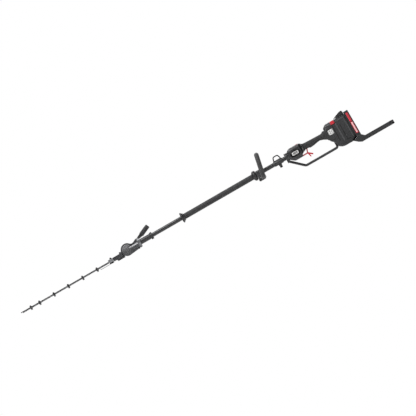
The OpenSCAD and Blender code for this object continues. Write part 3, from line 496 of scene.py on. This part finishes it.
def smooth_rod(node, mat=None):
    """Swept rods get round sections from one subdivision; their flat ends stay crisp."""
    bm = copied(node)
    crease = bm.edges.layers.float.new("crease_edge")
    for face in bm.faces:
        if len(face.verts) > 8:
            for edge in face.edges:
                edge[crease] = 1.0
    blank = linked(bm, "rod")
    finer = blank.modifiers.new("finer", "SUBSURF")
    finer.levels = finer.render_levels = 1
    bm = evaluated(blank)
    slot = SLOT_OF[node]
    piece = add_piece(bm, node + "_round", BODY_OF[node], mat or MATERIALS[slot], 60)
    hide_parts(node)


for node in ("loop_handle", "hand_guard", "harness_eye"):
    smooth_rod(node, FOAM_GREY if node == "loop_handle" else None)


# ---------------------------------------------------------------- trim

def trim(name, build, mat, edge):
    """A piece on the shaft body, drawn by build, with its edges rounded by edge mm."""
    bm = bmesh.new()
    build(bm)
    if edge:
        bm = rounded(bm, edge * MM, 2)
    add_piece(bm, name, "shaft", mat)


def both_sides(make):
    """Draws the same trim on the left and on the right of the tool."""
    def build(bm):
        for side in (-1, 1):
            make(bm, side)
    return build


def motor_badge(bm, side):
    """Dark oval plate on the side of the motor housing."""
    x, z = MOTOR_X + 46 * MM, SHAFT_Z - 3.5 * MM
    side_slab(bm, side, oval(x, z, 32 * MM, 17 * MM), MOTOR_WALL - 3, MOTOR_WALL + 0.6)


def motor_label(bm, side):
    """Pale label on the oval plate."""
    x, z = MOTOR_X + 46.5 * MM, SHAFT_Z - 1.8 * MM
    side_slab(bm, side, oval(x, z, 20.5 * MM, 9.5 * MM, 7), MOTOR_WALL - 1, MOTOR_WALL + 1.1)


def motor_label_bars(bm, side):
    """Generic bars on the motor's label: one long above, two short below."""
    for row, left, right in ((2, 32, 61), (-4, 32, 50), (-4, 54, 61)):
        z = SHAFT_Z + row * MM
        bar = rectangle(MOTOR_X + left * MM, MOTOR_X + right * MM, z - 2 * MM, z + 2 * MM)
        side_slab(bm, side, bar, MOTOR_WALL + 0.6, MOTOR_WALL + 1.3)


def motor_vents(bm, side):
    """Louvre bars that lean back, and in with the housing's shoulder."""
    low_z, high_z = SHAFT_Z + 14 * MM, SHAFT_Z + 26 * MM
    root, low_y, high_y = 30, MOTOR_WALL + 0.7, MOTOR_WALL - 2
    thick, lean = 3 * MM, 3 * MM
    for k in range(6):
        x = MOTOR_X + (33 + 7 * k) * MM
        known = set(bm.verts)
        outline = [(x, low_z), (x + thick, low_z), (x + thick + lean, high_z), (x + lean, high_z)]
        side_slab(bm, side, outline, root, low_y)
        for vert in set(bm.verts) - known:
            if abs(vert.co.y) > high_y * MM and vert.co.z > (low_z + high_z) / 2:
                vert.co.y = side * high_y * MM


def rear_dome(bm, side):
    """Round boss on the shoulder of the rear housing, in two steps."""
    x, z = REAR_X + 30 * MM, SHAFT_Z - 6 * MM
    rod(bm, (x, side * 40 * MM, z), (x, side * 55 * MM, z), 44 * MM, 72)
    rod(bm, (x, side * 54 * MM, z), (x, side * 57 * MM, z), 41 * MM, 72, 38 * MM)


def rear_label(bm, side):
    """Pale label on the boss."""
    outline = oval(REAR_X + 33 * MM, SHAFT_Z, 17 * MM, 15 * MM, 8)
    side_slab(bm, side, outline, REAR_WALL - 2, REAR_WALL - 0.4)


def rear_label_bars(bm, side):
    """A generic grid of squares on the rear label."""
    for i in range(3):
        for k in range(3):
            if (i + k) % 2 == 0:
                x, z = REAR_X + (23.5 + 8 * i) * MM, SHAFT_Z + (-8.5 + 7.2 * k) * MM
                square = rectangle(x, x + 4 * MM, z, z + 4 * MM)
                side_slab(bm, side, square, REAR_WALL - 0.6, REAR_WALL - 0.1)


def upright_bars(bm, side, bars, outer):
    """Bars on the rear housing's side: (mm behind its front, width, top and bottom from the shaft)."""
    for x, width, top, bottom in bars:
        x0, z0 = REAR_X + x * MM, SHAFT_Z + bottom * MM
        bar = rectangle(x0, REAR_X + (x + width) * MM, z0, SHAFT_Z + top * MM)
        side_slab(bm, side, bar, REAR_WALL - 8, outer)


def rear_ridges(bm, side):
    """Raised bars on the rear housing, in a lighter grey that is a painted highlight along them."""
    upright_bars(bm, side, [(75, 8, 31, -84), (132, 5, 40, -84)], REAR_WALL + 1.4)


def rear_grooves(bm, side):
    """Dark bars for the joints between the rear housing's panels, with the shade in their grooves painted
    in.
    """
    upright_bars(bm, side, [(53, 5, 28, -70), (96, 4, 12, -80), (142, 4, 46, -90)], REAR_WALL + 0.35)


def rear_slot(bm, side):
    """Dark slot low on the rear housing: a near-black bar whose darkness is painted shade in the opening.
    """
    x, z = REAR_X + 91 * MM, SHAFT_Z - 84.3 * MM
    slot = rectangle(x, x + 29 * MM, z - 1.5 * MM, z + 1.5 * MM)
    side_slab(bm, side, slot, REAR_WALL - 2, REAR_WALL + 0.5)


def strip_gap(bm, side):
    """Dark web between the two fields of a side strip."""
    low, high, _ = span("side_strips")
    z = low.z + 73 * MM
    edge = high.y / MM
    side_slab(bm, side, rectangle(low.x, high.x, z, z + 4 * MM), edge - 1, edge + 0.4)


def pale_inset(bm, side):
    """Bright field in the lower half of a side strip."""
    low, high, _ = span("side_strips")
    edge = high.y / MM
    field = rectangle(low.x + 3 * MM, high.x - 3 * MM, low.z + 4 * MM, low.z + 70 * MM)
    side_slab(bm, side, field, edge - 1, edge + 0.5)


def latch_shadow_plinth(bm):
    """Low dark bars on the housing before and behind the latch's hinge: painted shadow in the gap under the
    latch.
    """
    low, high, _ = span("battery_latch")
    hinge = low.x + 9 * MM
    for x0, x1, top in ((hinge - 15 * MM, hinge - 10.4 * MM, 60), (hinge + 2 * MM, high.x - 1 * MM, 54.5)):
        plate_xz(bm, rectangle(x0, x1, SHAFT_Z + 48 * MM, SHAFT_Z + top * MM), -27 * MM, 27 * MM)


def button_well(bm):
    """Floor of the mode button's recess, near-black as painted shade."""
    low, high, _ = span("mode_button")
    outline = rectangle(low.x - 2 * MM, high.x + 2 * MM, low.z - 12 * MM, high.z - 8 * MM)
    plate_xz(bm, outline, -50 * MM, 50 * MM)


def hub_cap(bm, side):
    """Stepped round cap on each cheek of the tilt joint, around the pivot screw."""
    for inner, outer, radius, sides, end_radius in ((-2, 1.4, 31, 72, 29), (0, 2.6, 15, 48, 14)):
        start = (PIVOT.x, side * (CHEEK + inner) * MM, PIVOT.z)
        end = (PIVOT.x, side * (CHEEK + outer) * MM, PIVOT.z)
        rod(bm, start, end, radius * MM, sides, end_radius * MM)


def hub_notches(bm, side, count=20):
    """Ring of small studs on the hub cap."""
    for k in range(count):
        a = 2 * math.pi * k / count
        x, z = PIVOT.x + 23 * MM * math.cos(a), PIVOT.z + 23 * MM * math.sin(a)
        rod(bm, (x, side * CHEEK * MM, z), (x, side * (CHEEK + 2) * MM, z), 2.2 * MM, 12, 1.8 * MM)


def case_ribs(bm, side):
    """Cast ribs on the side of the knuckle case, each with its height at both ends and its thickness."""
    low, high, _ = span("knuckle_case")
    start, end = low.x + 46 * MM, high.x - 4 * MM
    for lift, drop, thick in ((9, 19, 4.0), (-12, -13, 2.6), (-22, -23, 2.6)):
        z0, z1, t = SHAFT_Z + lift * MM, SHAFT_Z + drop * MM, thick * MM
        outline = [(start, z0), (end, z1), (end, z1 + t), (start, z0 + t)]
        side_slab(bm, side, outline, CHEEK - 1, CHEEK + 2.6)


def highlight_rib(bm, side):
    """Rib from the pivot back to the flange, its light grey a painted highlight."""
    start, end = PIVOT.x + 16 * MM, span("knuckle_case")[1].x - 3 * MM
    outline = [(start, SHAFT_Z - 0.5 * MM), (end, SHAFT_Z - 1.5 * MM), (end, SHAFT_Z + 7 * MM),
               (start, SHAFT_Z + 6.5 * MM)]
    side_slab(bm, side, outline, CHEEK - 1, CHEEK + 3.4)


def case_bolts(bm, side):
    """Clamp bolts below the flange, each with a small six-sided boss."""
    x, z = span("case_flange")[0].x - 8 * MM, SHAFT_Z - 27 * MM
    rod(bm, (x, side * 20 * MM, z), (x, side * 31 * MM, z), 5.4 * MM, 28)
    rod(bm, (x, side * 30.8 * MM, z), (x, side * 32 * MM, z), 3 * MM, 6, 2.6 * MM)


def screws(places, radius):
    """Round screw heads, each with a small six-sided boss, at (x, y, z) places."""
    def build(bm):
        for x, y, z in places:
            s = math.copysign(1, y)
            rod(bm, (x, y - s * 3 * MM, z), (x, y, z), radius, 28)
            rod(bm, (x, y - s * 0.1 * MM, z), (x, y + s * 0.5 * MM, z), radius * 0.62, 6, radius * 0.5)
    return build


trim("hub_caps", both_sides(hub_cap), CAST_LIGHT, edge=0.5)
trim("hub_notches", both_sides(hub_notches), MATERIALS["cast_grey"], edge=0)
trim("case_ribs", both_sides(case_ribs), MATERIALS["cast_grey"], edge=0.6)
# The ribs' light grey is a painted highlight.
trim("highlight_ribs", both_sides(highlight_rib), RIB_HIGHLIGHT, edge=1.0)
trim("case_bolts", both_sides(case_bolts), TRIM_AND_SHADE_BLACK, edge=0.3)
trim("motor_badges", both_sides(motor_badge), TRIM_AND_SHADE_BLACK, edge=0.6)
trim("motor_labels", both_sides(motor_label), LABEL_WHITE, edge=0.2)
trim("motor_vents", both_sides(motor_vents), TRIM_AND_SHADE_BLACK, edge=0)
trim("rear_domes", both_sides(rear_dome), MATERIALS["grey_plastic"], edge=1.0)
trim("rear_labels", both_sides(rear_label), LABEL_WHITE, edge=0.2)
trim("rear_ridges", both_sides(rear_ridges), RIDGE_HIGHLIGHT, edge=0.9)
trim("rear_grooves", both_sides(rear_grooves), TRIM_AND_SHADE_BLACK, edge=0)
trim("strip_gaps", both_sides(strip_gap), TRIM_AND_SHADE_BLACK, edge=0)
# Painted shadow under the battery latch.
trim("latch_shadow_plinth", latch_shadow_plinth, MATERIALS["black_plastic"], edge=0.5)
trim("button_well", button_well, TRIM_AND_SHADE_BLACK, edge=0)
trim("rear_slots", both_sides(rear_slot), TRIM_AND_SHADE_BLACK, edge=0)
trim("motor_label_bars", both_sides(motor_label_bars), TRIM_AND_SHADE_BLACK, edge=0)
trim("rear_label_bars", both_sides(rear_label_bars), TRIM_AND_SHADE_BLACK, edge=0)
trim("strip_insets", both_sides(pale_inset), STRIPE_PALE, edge=0.2)


def motor_seam(front=85.4, back=89.8):
    """Dark joint between the motor housing and the grip, front to back mm behind the housing's front."""
    top = moved(MOTOR_X, SHAFT_Z, [(front, 37.7), (back, 35.8)])
    bottom = moved(MOTOR_X, SHAFT_Z, [(front, -27.2), (back, -24.2)])
    width = along(MOTOR_X, [(front, 35.7), (back, 32.2)])
    x = MOTOR_X + front * MM
    trigger_slot = ((x - 100 * MM, -6 * MM, 0), (x + 100 * MM, 6 * MM, SHAFT_Z - 24 * MM))
    for side, hand in ((1, "left"), (-1, "right")):
        bm = cut_away(lofted_half(side, top, bottom, width, 3.6), [trigger_slot])
        add_piece(bm, f"motor_seam_{hand}", "shaft", TRIM_AND_SHADE_BLACK)


motor_seam()

PROUD = 0.2                     # mm that a housing screw stands out of its wall
HOUSING_SCREWS = [(REAR_X + 100 * MM, side * (REAR_WALL + PROUD) * MM, SHAFT_Z + height * MM)
                  for side in (-1, 1) for height in (38, -60)]
HOUSING_SCREWS += [(MOTOR_X + x * MM, side * (MOTOR_WALL + PROUD) * MM, SHAFT_Z - 30 * MM)
                   for side in (-1, 1) for x in (36, 66)]
trim("housing_screws", screws(HOUSING_SCREWS, 3.4 * MM), MATERIALS["fastener_steel"],
     edge=0.2)


# ---------------------------------------------------------------- floor, light and camera

FLOOR_REACH = 6                 # m from the floor's middle to its edge
FLOOR_DROP = 0.5 * MM           # the floor lies this far under the tool
AMBIENT = 0.2                   # light from all round
CLIMB = math.radians(30)        # the shaft rises to the right by this
VIEW_WIDTH = 2.4128             # m across the picture
CAMERA_PLACE = (0.0291, -4, 0.1144)


def pale_floor():
    """Plain pale floor, staged for the picture only."""
    bm = bmesh.new()
    bmesh.ops.create_grid(bm, x_segments=8, y_segments=8, size=FLOOR_REACH)
    floor = linked(bm, "floor")
    floor.location.z = -FLOOR_DROP
    mat, tree, shader = new_material("floor_paint")
    tree.links.new(blotched(tree, noise(tree, 3, 3), (0.84, 0.84, 0.84), (0.88, 0.88, 0.88)),
                   shader.inputs["Base Color"])
    shader.inputs["Roughness"].default_value = 0.8
    floor.data.materials.append(mat)


def soft_light(name, place, aim, size, power):
    """A broad lamp at a place, turned to a point."""
    data = bpy.data.lights.new(name, "AREA")
    data.shape = "RECTANGLE"
    data.size, data.size_y = size
    data.energy = power
    light = bpy.data.objects.new(name, data)
    light.location = place
    light.rotation_euler = (Vector(aim) - Vector(place)).to_track_quat("-Z", "Y").to_euler()
    bpy.context.scene.collection.objects.link(light)


def pale_world():
    """White paper behind the tool, with a weaker glow as its light."""
    bpy.context.scene.view_settings.view_transform = "Standard"
    world = bpy.data.worlds.new("studio")
    bpy.context.scene.world = world
    world.use_nodes = True
    tree = world.node_tree
    glow = tree.nodes["Background"]
    glow.inputs["Color"].default_value = (1, 1, 1, 1)
    glow.inputs["Strength"].default_value = AMBIENT
    paper = tree.nodes.new("ShaderNodeBackground")
    paper.inputs["Color"].default_value = (1, 1, 1, 1)
    paper.inputs["Strength"].default_value = 1.0
    rays = tree.nodes.new("ShaderNodeLightPath")
    mix = tree.nodes.new("ShaderNodeMixShader")
    tree.links.new(rays.outputs["Is Camera Ray"], mix.inputs["Fac"])
    tree.links.new(glow.outputs["Background"], mix.inputs[1])
    tree.links.new(paper.outputs["Background"], mix.inputs[2])
    tree.links.new(mix.outputs["Shader"], tree.nodes["World Output"].inputs["Surface"])


def side_camera():
    """Looks along +Y at the tool's side, rolled so that the shaft climbs to the right."""
    right = Vector((math.cos(CLIMB), 0, -math.sin(CLIMB)))
    up = Vector((math.sin(CLIMB), 0, math.cos(CLIMB)))
    back = Vector((0, -1, 0))
    data = bpy.data.cameras.new("camera")
    data.type = "ORTHO"
    data.ortho_scale = VIEW_WIDTH
    camera = bpy.data.objects.new("camera", data)
    turn = Matrix((right, up, back)).transposed().to_4x4()
    camera.matrix_world = Matrix.Translation(CAMERA_PLACE) @ turn
    bpy.context.scene.collection.objects.link(camera)
    bpy.context.scene.camera = camera


pale_floor()
pale_world()
soft_light("key", (-0.7, -1.1, 2.9), (0, 0, 0.1), (2.8, 0.5), 125)
soft_light("fill", (1.6, -2.8, 0.7), (0.3, 0, 0.1), (2.2, 0.9), 8)
soft_light("rim", (0.4, 2.2, 2.0), (0, 0, 0.1), (2.8, 1.0), 40)
side_camera()
